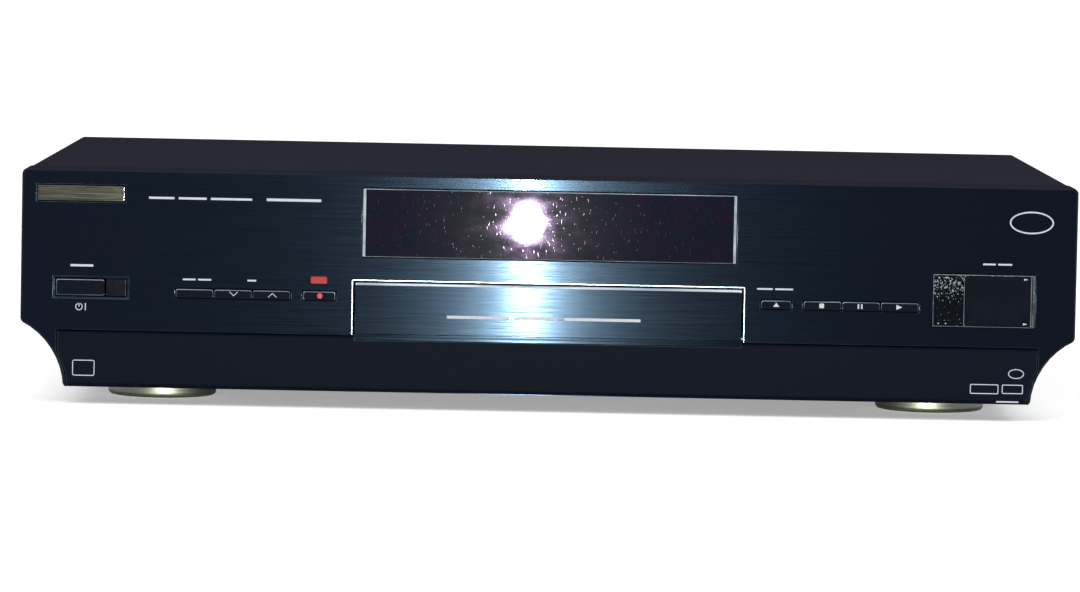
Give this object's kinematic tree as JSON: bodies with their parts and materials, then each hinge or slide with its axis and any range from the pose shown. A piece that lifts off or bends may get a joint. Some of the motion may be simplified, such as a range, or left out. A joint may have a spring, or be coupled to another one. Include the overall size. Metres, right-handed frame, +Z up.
{
  "type": "dvd recorder",
  "caption": "Full-width disc recorder with a motor-driven tray, display window, front keys, a fold-down flap over front jacks, a hard disk and round metal feet.",
  "frame": {"origin": "on the surface that the feet stand on, below the centre of the overall box", "axes": "+X to the right as seen from the front, -Y out of the front face, +Z up"},
  "size_m": [0.43, 0.34, 0.096],
  "materials": {
    "brushed_face": "brushed, dark blue-black anodised",
    "dark_moulding": "semi-gloss",
    "dark_steel": "satin coating",
    "black_plastic": "fine grain",
    "smoked_window": "smoked, polished",
    "display_glass": "tinted tube",
    "clear_block": "clear, polished",
    "satin_metal": "satin turned",
    "champagne_metal": "satin",
    "zinc_steel": "zinc plated",
    "circuit_green": "solder mask",
    "grey_plastic": "plain",
    "white_plastic": "plain",
    "red_plastic": "plain",
    "yellow_plastic": "plain",
    "rubber": "matte",
    "cast_aluminium": "die-cast",
    "polished_steel": "polished",
    "ribbon_white": "flat cable"
  },
  "bodies": {
    "case": {"front_panel": "brushed_face", "front_jack_panel": "black_plastic", "front_s_video_socket": "black_plastic", "front_video_jack": "yellow_plastic", "front_audio_left_jack": "white_plastic", "front_audio_right_jack": "red_plastic", "display_window": "smoked_window", "display_tube": "display_glass", "front_board": "circuit_green", "sensor_window": "smoked_window", "time_slip_lens": "clear_block", "name_plate": "champagne_metal", "top_cover": "dark_steel", "chassis_base": "zinc_steel", "rear_panel": "zinc_steel", "drive_frame": "black_plastic", "clamp_bridge": "zinc_steel", "drive_belt": "rubber", "loading_motor": "polished_steel", "hard_disk_case": "cast_aluminium", "hard_disk_cover": "polished_steel", "main_board": "circuit_green", "power_board": "circuit_green", "mains_inlet": "black_plastic", "rear_jack_block": "black_plastic", "tuner_module": "zinc_steel", "fan_housing": "black_plastic", "drive_ribbon_cable": "ribbon_white", "foot_front_left": "satin_metal", "foot_front_right": "satin_metal", "foot_rear_left": "satin_metal", "foot_rear_right": "satin_metal"},
    "tray": {"disc_tray": "black_plastic", "tray_door": "brushed_face"},
    "flap": {"front_flap": "dark_moulding"},
    "traverse": {"traverse_frame": "cast_aluminium", "pickup_rod_left": "polished_steel", "pickup_rod_right": "polished_steel", "spindle_motor": "polished_steel", "feed_motor": "polished_steel"},
    "pickup": {"optical_pickup": "black_plastic"},
    "feed_screw": {"lead_screw": "polished_steel"},
    "spindle": {"turntable": "grey_plastic"},
    "clamp": {"disc_clamp": "black_plastic"},
    "tray_gear_wheel": {"tray_gear": "white_plastic"},
    "pulley_wheel": {"pulley_gear": "white_plastic"},
    "motor_wheel": {"motor_pulley": "white_plastic"},
    "fan": {"fan_rotor": "grey_plastic"},
    "platters": {"hard_disk_platters": "polished_steel"},
    "disk_arm": {"hard_disk_arm": "cast_aluminium"},
    "power_button": {"power_key": "dark_moulding"},
    "rec_mode_button": {"rec_mode_key": "dark_moulding"},
    "channel_down_button": {"channel_down_key": "dark_moulding"},
    "channel_up_button": {"channel_up_key": "dark_moulding"},
    "record_button": {"record_key": "dark_moulding"},
    "open_close_button": {"open_close_key": "dark_moulding"},
    "stop_button": {"stop_key": "dark_moulding"},
    "pause_button": {"pause_key": "dark_moulding"},
    "play_button": {"play_key": "dark_moulding"},
    "time_slip_button": {"time_slip_key": "clear_block"}
  },
  "joints": [
    {"name": "tray_slide", "type": "slide", "parent": "case", "child": "tray", "axis": [0, -1, 0], "range_m": [0, 0.14]},
    {"name": "flap_hinge", "type": "hinge", "parent": "case", "child": "flap", "pos_m": [0, -0.1674, 0.009], "axis": [1, 0, 0], "range_deg": [0, 90]},
    {"name": "traverse_lift", "type": "hinge", "parent": "case", "child": "traverse", "pos_m": [0, 0.008, 0.027], "axis": [-1, 0, 0], "range_deg": [0, 5]},
    {"name": "pickup_slide", "type": "slide", "parent": "traverse", "child": "pickup", "axis": [0, 0.9962, 0.0872], "range_m": [0, 0.034]},
    {"name": "feed_screw_turn", "type": "hinge", "parent": "traverse", "child": "feed_screw", "pos_m": [0.0356, -0.08277, 0.01806], "axis": [0, 0.9962, 0.0872], "continuous": true},
    {"name": "turntable_spin", "type": "hinge", "parent": "traverse", "child": "spindle", "pos_m": [0, -0.09369, 0.02814], "axis": [0, -0.0872, 0.9962], "continuous": true},
    {"name": "clamp_spin", "type": "hinge", "parent": "case", "child": "clamp", "pos_m": [0, -0.0932, 0.0412], "axis": [0, 0, 1], "continuous": true},
    {"name": "tray_gear_turn", "type": "hinge", "parent": "case", "child": "tray_gear_wheel", "pos_m": [-0.054, -0.135, 0.019], "axis": [0, 0, 1], "continuous": true},
    {"name": "pulley_turn", "type": "hinge", "parent": "case", "child": "pulley_wheel", "pos_m": [-0.033, -0.135, 0.019], "axis": [0, 0, 1], "continuous": true},
    {"name": "motor_turn", "type": "hinge", "parent": "case", "child": "motor_wheel", "pos_m": [-0.003, -0.135, 0.023], "axis": [0, 0, 1], "continuous": true},
    {"name": "fan_spin", "type": "hinge", "parent": "case", "child": "fan", "pos_m": [-0.1678, 0.15, 0.049], "axis": [0, 1, 0], "continuous": true},
    {"name": "platters_spin", "type": "hinge", "parent": "case", "child": "platters", "pos_m": [0.14445, -0.00969, 0.0203], "axis": [0, 0, 1], "continuous": true},
    {"name": "disk_arm_swing", "type": "hinge", "parent": "case", "child": "disk_arm", "pos_m": [0.1128, 0.05154, 0.023], "axis": [0, 0, -1], "range_deg": [0, 22]},
    {"name": "power_key_press", "type": "slide", "parent": "case", "child": "power_button", "axis": [0, 1, 0], "range_m": [0, 0.0008], "stiffness_N_per_m": 1200, "springref_m": -0.0003},
    {"name": "rec_mode_key_press", "type": "slide", "parent": "case", "child": "rec_mode_button", "axis": [0, 1, 0], "range_m": [0, 0.0008], "stiffness_N_per_m": 1200, "springref_m": -0.0003},
    {"name": "channel_down_key_press", "type": "slide", "parent": "case", "child": "channel_down_button", "axis": [0, 1, 0], "range_m": [0, 0.0008], "stiffness_N_per_m": 1200, "springref_m": -0.0003},
    {"name": "channel_up_key_press", "type": "slide", "parent": "case", "child": "channel_up_button", "axis": [0, 1, 0], "range_m": [0, 0.0008], "stiffness_N_per_m": 1200, "springref_m": -0.0003},
    {"name": "record_key_press", "type": "slide", "parent": "case", "child": "record_button", "axis": [0, 1, 0], "range_m": [0, 0.0008], "stiffness_N_per_m": 1200, "springref_m": -0.0003},
    {"name": "open_close_key_press", "type": "slide", "parent": "case", "child": "open_close_button", "axis": [0, 1, 0], "range_m": [0, 0.0008], "stiffness_N_per_m": 1200, "springref_m": -0.0003},
    {"name": "stop_key_press", "type": "slide", "parent": "case", "child": "stop_button", "axis": [0, 1, 0], "range_m": [0, 0.0008], "stiffness_N_per_m": 1200, "springref_m": -0.0003},
    {"name": "pause_key_press", "type": "slide", "parent": "case", "child": "pause_button", "axis": [0, 1, 0], "range_m": [0, 0.0008], "stiffness_N_per_m": 1200, "springref_m": -0.0003},
    {"name": "play_key_press", "type": "slide", "parent": "case", "child": "play_button", "axis": [0, 1, 0], "range_m": [0, 0.0008], "stiffness_N_per_m": 1200, "springref_m": -0.0003},
    {"name": "time_slip_key_press", "type": "slide", "parent": "case", "child": "time_slip_button", "axis": [0, 1, 0], "range_m": [0, 0.0008], "stiffness_N_per_m": 1200, "springref_m": -0.0003}
  ],
  "couplings": [
    {"joint": "tray_gear_turn", "follows": "tray_slide", "rad_per_m": 111.11},
    {"joint": "pulley_turn", "follows": "tray_slide", "rad_per_m": -277.78},
    {"joint": "motor_turn", "follows": "tray_slide", "rad_per_m": -857.14},
    {"joint": "feed_screw_turn", "follows": "pickup_slide", "rad_per_m": -1570.8}
  ]
}
